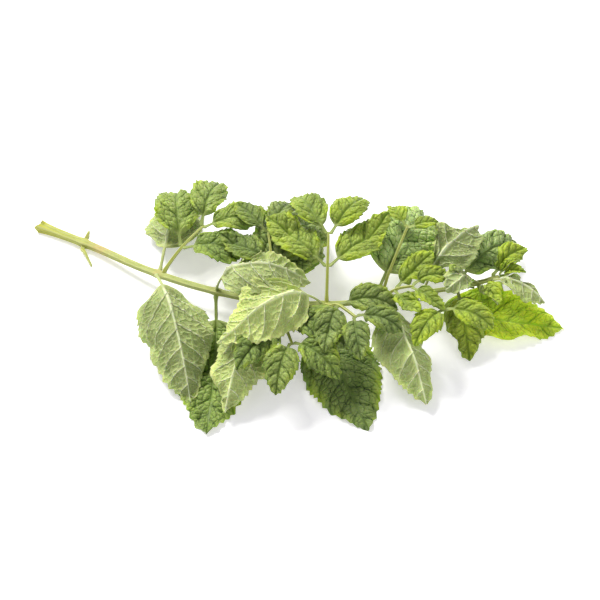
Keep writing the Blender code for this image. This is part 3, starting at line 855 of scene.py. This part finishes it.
def leaf_material(name, leaves, hollow, crest, vein, young_hollow, young_crest, finish):
    """A leaf's face: quilting painted light on its swellings and shaded in its creases, crisp veins and
    network with a painted shadow line beside each side vein, grey bloom that is partly a painted sheen,
    each leaf's painted light, and a pale petiole.
    """
    material, graph, shader = new_material(name)
    place = graph.shader("UVMap", uv_map="leaf_map")
    cloudy = graph.shader("TexNoise", {"Vector": place, "Scale": 9.0, "Detail": 3.0})
    grain = graph.shader("TexNoise", {"Vector": place, "Scale": 240.0, "Detail": 3.0})
    net = graph.node("ShaderNodeAttribute", attribute_name="net").outputs["Vector"]

    def network(size, width):
        return graph.ramped(graph.edge_of_cell(net, NET_SCALE / size), 0.0, width, 1.0, 0.0)

    beside = graph.maths("PINGPONG", graph.painted("phase"), 0.5)
    beside = graph.times(beside, graph.painted("spacing"))
    side_vein = graph.ramped(beside, *VEIN_EDGE, 1.0, 0.0)
    side_vein = graph.times(side_vein, graph.painted("fading"))
    reach = graph.maths("ABSOLUTE", graph.painted("lateral"))
    reach = graph.maths("DIVIDE", reach, graph.painted("midrib"))
    midrib = graph.ramped(reach, 0.55, 1.25, 1.0, 0.0)
    inside = graph.times(graph.painted("inside"), graph.maths("SUBTRACT", 1.0, midrib))
    coarse = graph.times(network(leaves.pillow_size, 0.13), inside)
    fine = graph.times(network(leaves.pillow_size * FINE_SHARE, 0.22), inside)

    # Painted light and shade of the quilting: each face runs from its hollow colour to its crest colour as
    # the blade swells, painted darker where shade falls in its creases and pits, plus random grain.
    height = graph.ramped(graph.painted("swell"), -0.1, 0.45, finish["low"], finish["high"])
    height = graph.maths("ADD", height, graph.times(grain, 0.9, plus=-0.45))
    # The network lines: on the upper face, painted shade in the sunken creases; on the under face, the pale
    # raised network.
    line = graph.times(coarse, finish["coarse"])
    line = graph.times(fine, finish["fine"], plus=line)
    calm = graph.ramped(graph.painted("youth"), 0.2, 0.9, 1.0, finish["calm"])
    line = graph.times(line, calm)
    # Painted shadow: a thin dark line beside each side vein.
    vein_shadow = graph.ramped(beside, *VEIN_SHADOW_EDGE, finish["vein_shadow"], 0.0)
    height = graph.times(vein_shadow, graph.painted("fading"), plus=height)
    height = graph.maths("ADD", height, line, clamp=True)
    old = graph.blended(height, hollow, crest)
    # Grey bloom on the swellings, partly a painted sheen.
    bloom_and_sheen = graph.times(graph.painted("grey"), graph.ramped(cloudy, 0.3, 0.65, 0.2, 1.0))
    bloom_and_sheen = graph.times(bloom_and_sheen, graph.ramped(height, 0.1, 0.8))
    old = graph.blended(bloom_and_sheen, old, finish["bloom_and_sheen"])
    young = graph.blended(height, young_hollow, young_crest)
    rim = graph.times(graph.painted("edge"), graph.ramped(cloudy, 0.4, 0.62, 0.1, 0.85))
    youth = graph.maths("ADD", graph.painted("youth"), rim, clamp=True)
    youth = graph.times(youth, graph.ramped(cloudy, 0.25, 0.6, 0.7, 1.0), clamp=True)
    colour = graph.blended(youth, old, young)
    veins = graph.times(midrib, finish["midrib"])
    veins = graph.times(side_vein, finish["side_vein"], plus=veins, clamp=True)
    colour = graph.blended(veins, colour, graph.blended(youth, vein, finish["young_vein"]))
    stalk = graph.maths("SUBTRACT", 1.0, graph.painted("blade"), clamp=True)
    colour = graph.blended(graph.times(stalk, 0.85), colour, finish["petiole"])
    # Random patches of tone, times each leaf's tone with painted light: brighter or darker as the leaf
    # stands in light or shade.
    patchy_tone_and_light = graph.times(graph.ramped(cloudy, 0.25, 0.75, 0.84, 1.12), graph.painted("bright"))
    shade = graph.shader("CombineXYZ", {0: patchy_tone_and_light, 1: patchy_tone_and_light, 2: patchy_tone_and_light})
    colour = graph.blended(1.0, colour, shade, "MULTIPLY")
    relief = graph.times(grain, 0.35)
    for mark, share in ((fine, 0.5), (coarse, 0.7), (side_vein, 0.7)):
        relief = graph.times(mark, share * finish["relief"], plus=relief)
    graph.feed(shader, {
        "Base Color": colour,
        "Roughness": graph.ramped(grain, 0.3, 0.7, *finish["roughness"]),
        "Normal": graph.shader("Bump", {"Strength": 1.0, "Distance": 0.0004, "Height": relief}),
        "IOR": 1.42,
        "Sheen Weight": finish["sheen"],
        "Sheen Roughness": 0.45,
        "Sheen Tint": (0.9, 1.0, 0.8, 1),
        "Subsurface Weight": 0.3,
        "Subsurface Radius": (0.55, 1.0, 0.12),
        "Subsurface Scale": 0.0006,
    })
    return material


def upper_material(leaves):
    # The upper face: painted light on its swellings, painted shade in its sunken creases and network.
    return leaf_material(
        "mint leaf upper face", leaves, leaves.crease_shade_colour, leaves.upper_colour,
        (0.24, 0.34, 0.09), (0.22, 0.34, 0.01), leaves.young_colour,
        {
            "bloom_and_sheen": (0.41, 0.50, 0.22), "young_vein": (0.40, 0.53, 0.05), "petiole": (0.36, 0.44, 0.12),
            "roughness": (0.38, 0.58), "sheen": 0.1, "low": 0.3, "high": 1.0, "coarse": -0.6,
            "fine": -0.28, "side_vein": 0.12, "midrib": 0.6, "relief": -1.0, "calm": 0.6, "vein_shadow": -0.1,
        },
    )


def under_material(leaves):
    # The under face: painted shade in the pits between its pale veins.
    return leaf_material(
        "mint leaf under face", leaves, (0.22, 0.29, 0.07), leaves.under_colour,
        leaves.vein_colour, (0.33, 0.42, 0.09), (0.70, 0.78, 0.29),
        {
            "bloom_and_sheen": (0.44, 0.52, 0.24), "young_vein": (0.74, 0.79, 0.42), "petiole": (0.48, 0.54, 0.19),
            "roughness": (0.55, 0.75), "sheen": 0.15, "low": 0.75, "high": 0.45, "coarse": 0.4,
            "fine": 0.24, "side_vein": 1.0, "midrib": 1.0, "relief": 1.25, "calm": 1.0, "vein_shadow": -0.35,
        },
    )


def stem_material(stems):
    material, graph, shader = new_material("mint stem skin")
    place = graph.node("ShaderNodeTexCoord").outputs["Object"]
    cloudy = graph.shader("TexNoise", {"Vector": place, "Scale": 90.0, "Detail": 3.0})
    corner = graph.painted("corner")
    along = graph.times(graph.painted("along"), 3.0)
    streaks = graph.shader("CombineXYZ", {0: corner, 1: along, 2: graph.painted("lobe")})
    streaks = graph.shader("TexNoise", {"Vector": streaks, "Scale": 3.5, "Detail": 5.0})
    streaked = graph.ramped(streaks, 0.36, 0.62)
    skin = graph.blended(streaked, stems.streak_and_groove_shade_colour, stems.stem_colour)
    yellow = graph.times(graph.painted("yellow"), graph.ramped(streaks, 0.3, 0.55, 0.65, 0.95))
    skin = graph.blended(yellow, skin, stems.cut_colour)
    # Painted highlight along the stem's standing corners, and painted shade in its grooves.
    skin = graph.blended(graph.ramped(corner, -0.5, -0.95, 0.0, 0.55), skin, (0.68, 0.71, 0.32))
    skin = graph.blended(graph.ramped(corner, 0.5, 1.0, 0.0, 0.55), skin, stems.streak_and_groove_shade_colour)
    blush = graph.times(graph.painted("blush"), graph.ramped(cloudy, 0.42, 0.62, 0.1, 1.0))
    skin = graph.blended(graph.times(blush, 0.6), skin, (0.62, 0.36, 0.14))
    graph.feed(shader, {
        "Base Color": skin,
        "Roughness": graph.ramped(streaks, 0.3, 0.7, 0.36, 0.52),
        "Normal": graph.shader("Bump", {"Strength": 0.7, "Distance": 0.00025, "Height": streaks}),
        "Subsurface Weight": 0.2,
        "Subsurface Radius": (0.8, 1.0, 0.2),
        "Subsurface Scale": 0.0008,
    })
    return material


def hair_material():
    material, graph, shader = new_material("mint stem hair")
    place = graph.node("ShaderNodeTexCoord").outputs["Object"]
    tint = graph.shader("TexNoise", {"Vector": place, "Scale": 400.0})
    colour = graph.blended(tint, (0.55, 0.6, 0.35), (0.8, 0.82, 0.68))
    graph.feed(shader, {"Base Color": colour, "Roughness": 0.5})
    return material


def pith_material():
    """The cut end: a pale rim, darker deeper in its sunken middle."""
    material, graph, shader = new_material("mint cut end")
    place = graph.node("ShaderNodeTexCoord").outputs["Object"]
    grain = graph.shader("TexNoise", {"Vector": place, "Scale": 1800.0, "Detail": 4.0})
    # Darker deeper into the sunken middle, with random grain.
    depth_darkening = graph.maths("ADD", graph.painted("pith"), graph.times(grain, 0.4, plus=-0.2))
    depth_darkening = graph.ramped(depth_darkening, 0.12, 0.55)
    graph.feed(shader, {
        "Base Color": graph.blended(depth_darkening, (0.32, 0.31, 0.04), (0.025, 0.035, 0.008)),
        "Normal": graph.shader("Bump", {"Strength": 0.7, "Distance": 0.0002, "Height": grain}),
        "Roughness": 0.6,
    })
    return material


# Pieces.


def settle(piece, node):
    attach(piece, "root")
    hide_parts(node)


def make_leaves(chosen):
    """A finished leaf for each of the chosen names."""
    leaves = bpy.context.scene.mint_leaves
    tree = bpy.data.node_groups.get("Leaf skins") or leaf_skins_tree()
    upper = bpy.data.materials.get("mint leaf upper face") or upper_material(leaves)
    under = bpy.data.materials.get("mint leaf under face") or under_material(leaves)
    for number, (leaf, patch, root) in enumerate(SPRIG_LEAVES):
        if leaf.name in chosen:
            piece = formed(leaf.name + "_blade", sheet_mesh(leaf, patch, root, number), tree, {
                "Quilt Height": leaves.quilt_height, "Pillow Height": leaves.pillow_height,
                "Pillow Size": leaves.pillow_size, "Edge Ripple": leaves.edge_ripple,
                "Blade Thickness": leaves.blade_thickness, "Rib Height": leaves.rib_height,
                "Table Gap": TABLE_GAP, "Upper Face": upper, "Under Face": under,
            })
            settle(piece, leaf.name)


# A stem's skin. Its fullness, flare and collar are shares of its own width, and the rest are lengths along
# it in millimetres.
LINE_SPACING = 0.7
FULLNESS = 1.08
SKIN_SWELLING_REACH = 2.3
CUT_FLARE = 0.55
CUT_FLARE_REACH = 6
CUT_YELLOW_REACH = 24
TORN_REACH = 1.6
BLUSH_PLACE = 33
BLUSH_REACH = 10
COLLAR = 0.3
COLLAR_REACH = 1.8
TIP_ROUNDING = 0.9


def stem_line(name, stem):
    """A stem's line as a mesh of edges. Each point knows its girth, its blush and how downy it is."""
    route = stem.route
    length = stem.at[-1]
    at = np.linspace(0, length, max(8, round(length / LINE_SPACING)))
    points = between(route, at / length * (len(route) - 1))
    if stem.root is not None:
        sunk = np.linalg.norm(stem.root - route[0]) * ROOT_SHARE * np.array([1.0, 0.7, 0.35])
        points = np.concatenate([route[0] + sunk[:, None] * unit(stem.root - route[0]), points])
        at = np.concatenate([-sunk, at])
    girth = np.interp(at, (0, length), stem.taper) / 2 * FULLNESS
    tip = np.clip(at / length, 0, 1)
    if stem.swells:
        near_node = bell((at[:, None] - np.array(NODES)) / SKIN_SWELLING_REACH).max(axis=1)
        girth = girth * (1 + NODE_SWELLING * near_node + CUT_FLARE * np.exp(-at / CUT_FLARE_REACH))
        yellow = np.exp(-at / CUT_YELLOW_REACH)
        torn = bell(at / TORN_REACH)
        blush = np.maximum(0.5 * near_node, 0.8 * bell((at - BLUSH_PLACE) / BLUSH_REACH))
    else:
        girth = girth * (1 + COLLAR * bell((at + 0.5) / COLLAR_REACH))
        yellow = 0.25 + 0 * at
        torn = 0 * at
        blush = 0.3 * np.exp(-at / 3)
    end = np.sqrt(np.clip((length - at) / TIP_ROUNDING, 0.02, 1))
    mesh = bpy.data.meshes.new(name + "_line")
    mesh.from_pydata(points * MM, [(i, i + 1) for i in range(len(at) - 1)], [])
    give(mesh, "girth", girth * end * MM)
    give(mesh, "blush", blush)
    give(mesh, "yellow", yellow)
    give(mesh, "along", at / 100)
    give(mesh, "downy", 0.3 + 0.7 * tip)
    give(mesh, "torn", torn)
    return mesh


# The rings from the rim down to the pith. Each has its share of the last ring's width, its depth below
# that ring as a share of the rim's radius, and its darkness. The torn rim evens out from ring to ring.
PITH_RINGS = ((0.82, -0.02, 0.1), (0.88, 0.3, 0.4), (0.7, 0.35, 0.9), (0.55, 0.1, 1.0))
PITH_EVENING = 0.7


def cut_end(piece, pith):
    """Sinks the pith a little inside the rim of each flat end."""
    mesh = piece.data
    mesh.materials.append(pith)
    shape = bmesh.new()
    shape.from_mesh(mesh)
    layer = shape.verts.layers.float.new("pith")
    slot = len(mesh.materials) - 1
    for face in [face for face in shape.faces if len(face.verts) > 8]:
        radius = math.sqrt(face.calc_area() / math.pi)
        middle, outwards = face.calc_center_median(), face.normal.copy()
        face.material_index = slot
        face.smooth = True
        for narrowing, sink, value in PITH_RINGS:
            bmesh.ops.inset_individual(shape, faces=[face], thickness=0.0, depth=0.0)
            for vert in face.verts:
                reach = vert.co - middle
                ahead = reach.dot(outwards) * outwards
                vert.co = middle + narrowing * (reach - ahead) + PITH_EVENING * ahead
                vert[layer] = value
            middle -= sink * radius * outwards
            for vert in face.verts:
                vert.co -= sink * radius * outwards
    shape.to_mesh(mesh)
    shape.free()


def make_stems(names):
    stems = bpy.context.scene.mint_stems
    tree = bpy.data.node_groups.get("Stem skin") or stem_tree()
    skin = bpy.data.materials.get("mint stem skin") or stem_material(stems)
    hair = bpy.data.materials.get("mint stem hair") or hair_material()
    pith = bpy.data.materials.get("mint cut end") or pith_material()
    for number, name in enumerate(names):
        stem = SPRIG_STEMS[name]
        piece = formed(name + "_skin", stem_line(name, stem), tree, {
            "Squareness": stems.squareness, "Hair Length": stems.hair_length,
            "Hairs per Square Metre": stems.hair_density, "Seed": 7 + number, "Table Gap": TABLE_GAP,
            "Torn Depth": stems.torn_depth, "Cut Direction": unit(stem.route[0] - stem.route[1]),
            "Skin": skin, "Hair": hair,
        })
        cut_end(piece, pith)
        settle(piece, name)


TABLE_REACH = 1.6
SENSOR_WIDTH = 36.0
VIEW_MIDDLE = Vector((0.002, 0.004, 0.0))
KEY_PLACE = (-0.55, 0.75, 1.15)
FILL_PLACE = (0.7, -0.8, 1.0)


def make_table(stage):
    corners = [(x * TABLE_REACH, y * TABLE_REACH, 0) for x, y in ((-1, -1), (1, -1), (1, 1), (-1, 1))]
    mesh = bpy.data.meshes.new("studio_table")
    mesh.from_pydata(corners, [], [(0, 1, 2, 3)])
    table = new_object("studio_table", mesh)
    material, graph, shader = new_material("studio table")
    place = graph.node("ShaderNodeTexCoord").outputs["Object"]
    faint = graph.shader("TexNoise", {"Vector": place, "Scale": 30.0, "Detail": 2.0})
    graph.feed(shader, {
        "Base Color": graph.blended(faint, 0.99 * stage.table_colour, stage.table_colour),
        "Roughness": 0.7,
        "Specular IOR Level": 0.2,
        "Emission Color": (0.99, 0.952, 0.99, 1),
        "Emission Strength": stage.table_glow,
    })
    mesh.materials.append(material)


def add_light(name, place, size, power, colour):
    lamp = bpy.data.lights.new(name, "AREA")
    lamp.shape, lamp.size, lamp.energy, lamp.color = "DISK", size, power, colour
    light = new_object(name, lamp)
    light.location = place
    light.rotation_euler = (-Vector(place)).to_track_quat("-Z", "Y").to_euler()


def make_lights(stage):
    world = bpy.data.worlds.new("studio room")
    world.use_nodes = True
    background = world.node_tree.nodes["Background"]
    background.inputs["Color"].default_value = (0.97, 0.985, 1.0, 1)
    background.inputs["Strength"].default_value = stage.room_light
    bpy.context.scene.world = world
    add_light("key light", KEY_PLACE, 0.65, stage.key_power, (1.0, 0.985, 0.95))
    add_light("fill light", FILL_PLACE, 1.0, stage.fill_power, (0.96, 0.98, 1.0))


def make_camera(stage):
    view = bpy.data.cameras.new("camera")
    view.sensor_width = SENSOR_WIDTH
    view.lens = SENSOR_WIDTH * stage.camera_distance / stage.view_width
    camera = new_object("camera", view)
    rise = stage.camera_elevation
    camera.location = VIEW_MIDDLE + stage.camera_distance * Vector((0, -math.cos(rise), math.sin(rise)))
    camera.rotation_euler = (math.pi / 2 - rise, 0, 0)
    view.clip_start, view.clip_end = 0.05, 10.0
    bpy.context.scene.camera = camera
    bpy.context.scene.view_settings.view_transform = "Standard"


# The add-on.


def number_setting(name, description, default, unit="NONE", least=0.0):
    return FloatProperty(name=name, description=description, default=default, min=least, unit=unit)


def length_setting(name, description, default, least=0.0):
    return number_setting(name, description, default, "LENGTH", least)


def colour_setting(name, description, default):
    return FloatVectorProperty(
        name=name, description=description, default=default, subtype="COLOR", size=3, min=0.0, max=1.0
    )


class MintLeafSettings(bpy.types.PropertyGroup):
    quilt_height: length_setting("Quilt Height", "How far the blade swells between its veins", 0.0015)
    pillow_height: length_setting("Pillow Height", "How far each cell of the vein network swells", 0.0007)
    pillow_size: length_setting("Pillow Size", "Width of a cell of the vein network", 0.0025, 0.0005)
    edge_ripple: length_setting("Edge Ripple", "How far the blade waves up and down", 0.001)
    blade_thickness: length_setting("Blade Thickness", "Thickness of the blade between its veins", 0.00032)
    rib_height: length_setting("Rib Height", "How far the midrib stands out underneath", 0.0008)
    upper_colour: colour_setting(
        "Upper Face", "Colour of the swellings on a full-grown leaf's upper face", (0.26, 0.385, 0.085)
    )
    # The upper face's painted shade along its sunken creases.
    crease_shade_colour: colour_setting(
        "Crease Shade", "Colour along the sunken veins of the upper face", (0.04, 0.09, 0.016)
    )
    under_colour: colour_setting("Under Face", "Colour of the pale under face", (0.54, 0.62, 0.25))
    vein_colour: colour_setting("Veins", "Colour of the raised veins on the under face", (0.66, 0.71, 0.42))
    young_colour: colour_setting("Young Leaves", "Colour of a young leaf's upper face", (0.50, 0.62, 0.03))


class MintStemSettings(bpy.types.PropertyGroup):
    squareness: FloatProperty(
        name="Squareness", description="How far the stem's corners stand out", default=0.12,
        min=0.0, max=0.2,
    )
    hair_length: length_setting("Hair Length", "Length of the longest hairs", 0.0005)
    hair_density: number_setting(
        "Hairs per Square Metre", "Number of hairs on a square metre of skin", 1.6e6
    )
    torn_depth: length_setting("Torn Depth", "How far the cut end is split and ragged", 0.0012)
    stem_colour: colour_setting("Stem", "Colour of the stem's skin", (0.47, 0.51, 0.13))
    cut_colour: colour_setting("Cut End", "Colour of the skin near the cut end", (0.47, 0.455, 0.01))
    # The streaks' colour, which is also painted as shade in the stem's grooves.
    streak_and_groove_shade_colour: colour_setting(
        "Streaks", "Colour of the darker streaks along the stem", (0.24, 0.30, 0.045)
    )


class MintStageSettings(bpy.types.PropertyGroup):
    table_colour: colour_setting("Table", "Colour of the table", (0.92, 0.92, 0.942))
    table_glow: number_setting("Table Glow", "Strength of the table's own light", 0.37)
    room_light: number_setting("Room Light", "Strength of the even light from all sides", 0.42)
    key_power: number_setting("Key Light", "Power of the main light", 28.0, "POWER")
    fill_power: number_setting("Fill Light", "Power of the light from the near side", 3.0, "POWER")
    camera_distance: length_setting(
        "Camera Distance", "Distance from the camera to the table's middle", 1.0, 0.1
    )
    camera_elevation: FloatProperty(
        name="Camera Elevation", description="Angle of the view above the table", default=math.radians(52),
        min=0.0, max=math.pi / 2, subtype="ANGLE",
    )
    view_width: length_setting("View Width", "Width of the view at the table's middle", 0.2727, 0.05)


class MINT_OT_stem(bpy.types.Operator):
    """Make the main stem and the stubs of its lowest leaves"""

    bl_idname = "mint.stem"
    bl_label = "Stem"

    def execute(self, context):
        make_stems(["main_stem"] + [stub.name for stub in STUBS])
        return {"FINISHED"}


class MINT_OT_under_leaves(bpy.types.Operator):
    """Make the leaves that lie on the table under the stem"""

    bl_idname = "mint.under_leaves"
    bl_label = "Leaves Under the Stem"

    def execute(self, context):
        make_leaves([leaf.name for leaf in UNDER_LEAVES])
        return {"FINISHED"}


class MINT_OT_side_leaves(bpy.types.Operator):
    """Make the leaves at the two sides of the stem"""

    bl_idname = "mint.side_leaves"
    bl_label = "Leaves at the Sides"

    def execute(self, context):
        make_leaves([leaf.name for leaf in SIDE_LEAVES])
        return {"FINISHED"}


class MINT_OT_shoots(bpy.types.Operator):
    """Make the side shoots, each a thin stem with small leaves"""

    bl_idname = "mint.shoots"
    bl_label = "Side Shoots"

    def execute(self, context):
        make_stems([shoot.name + "_stem" for shoot in SHOOTS])
        make_leaves([leaf.name for leaf, *_ in SPRIG_LEAVES if leaf.name.startswith("shoot")])
        return {"FINISHED"}


class MINT_OT_top_leaves(bpy.types.Operator):
    """Make the leaves that arch over the stem and the bud at its tip"""

    bl_idname = "mint.top_leaves"
    bl_label = "Leaves on Top and Tip"

    def execute(self, context):
        make_leaves([leaf.name for leaf in TOP_LEAVES])
        return {"FINISHED"}


class MINT_OT_stage(bpy.types.Operator):
    """Set up the table, the lights and the camera"""

    bl_idname = "mint.stage"
    bl_label = "Table, Lights and Camera"

    def execute(self, context):
        make_table(context.scene.mint_stage)
        make_lights(context.scene.mint_stage)
        make_camera(context.scene.mint_stage)
        return {"FINISHED"}


OPERATORS = (
    MINT_OT_stage, MINT_OT_stem, MINT_OT_under_leaves, MINT_OT_side_leaves, MINT_OT_shoots,
    MINT_OT_top_leaves,
)
SETTINGS = {
    "mint_leaves": MintLeafSettings,
    "mint_stems": MintStemSettings,
    "mint_stage": MintStageSettings,
}


class MINT_PT_sprig(bpy.types.Panel):
    bl_label = "Mint Sprig"
    bl_idname = "MINT_PT_sprig"
    bl_space_type = "VIEW_3D"
    bl_region_type = "UI"
    bl_category = "Mint"

    def draw(self, context):
        for key, group in SETTINGS.items():
            column = self.layout.column(align=True)
            for name in group.__annotations__:
                column.prop(getattr(context.scene, key), name)
        for operator in OPERATORS:
            self.layout.operator(operator.bl_idname)


def register():
    for cls in (*SETTINGS.values(), *OPERATORS, MINT_PT_sprig):
        bpy.utils.register_class(cls)
    for key, group in SETTINGS.items():
        setattr(bpy.types.Scene, key, PointerProperty(type=group))


def unregister():
    for key in SETTINGS:
        delattr(bpy.types.Scene, key)
    for cls in (MINT_PT_sprig, *reversed(OPERATORS), *reversed(SETTINGS.values())):
        bpy.utils.unregister_class(cls)


SPRIG_LEAVES, SPRIG_STEMS = grow_sprig()


def main():
    register()
    bpy.ops.mint.stage()
    bpy.ops.mint.stem()
    bpy.ops.mint.under_leaves()
    bpy.ops.mint.side_leaves()
    bpy.ops.mint.shoots()
    bpy.ops.mint.top_leaves()


if __name__ == "__main__":
    main()
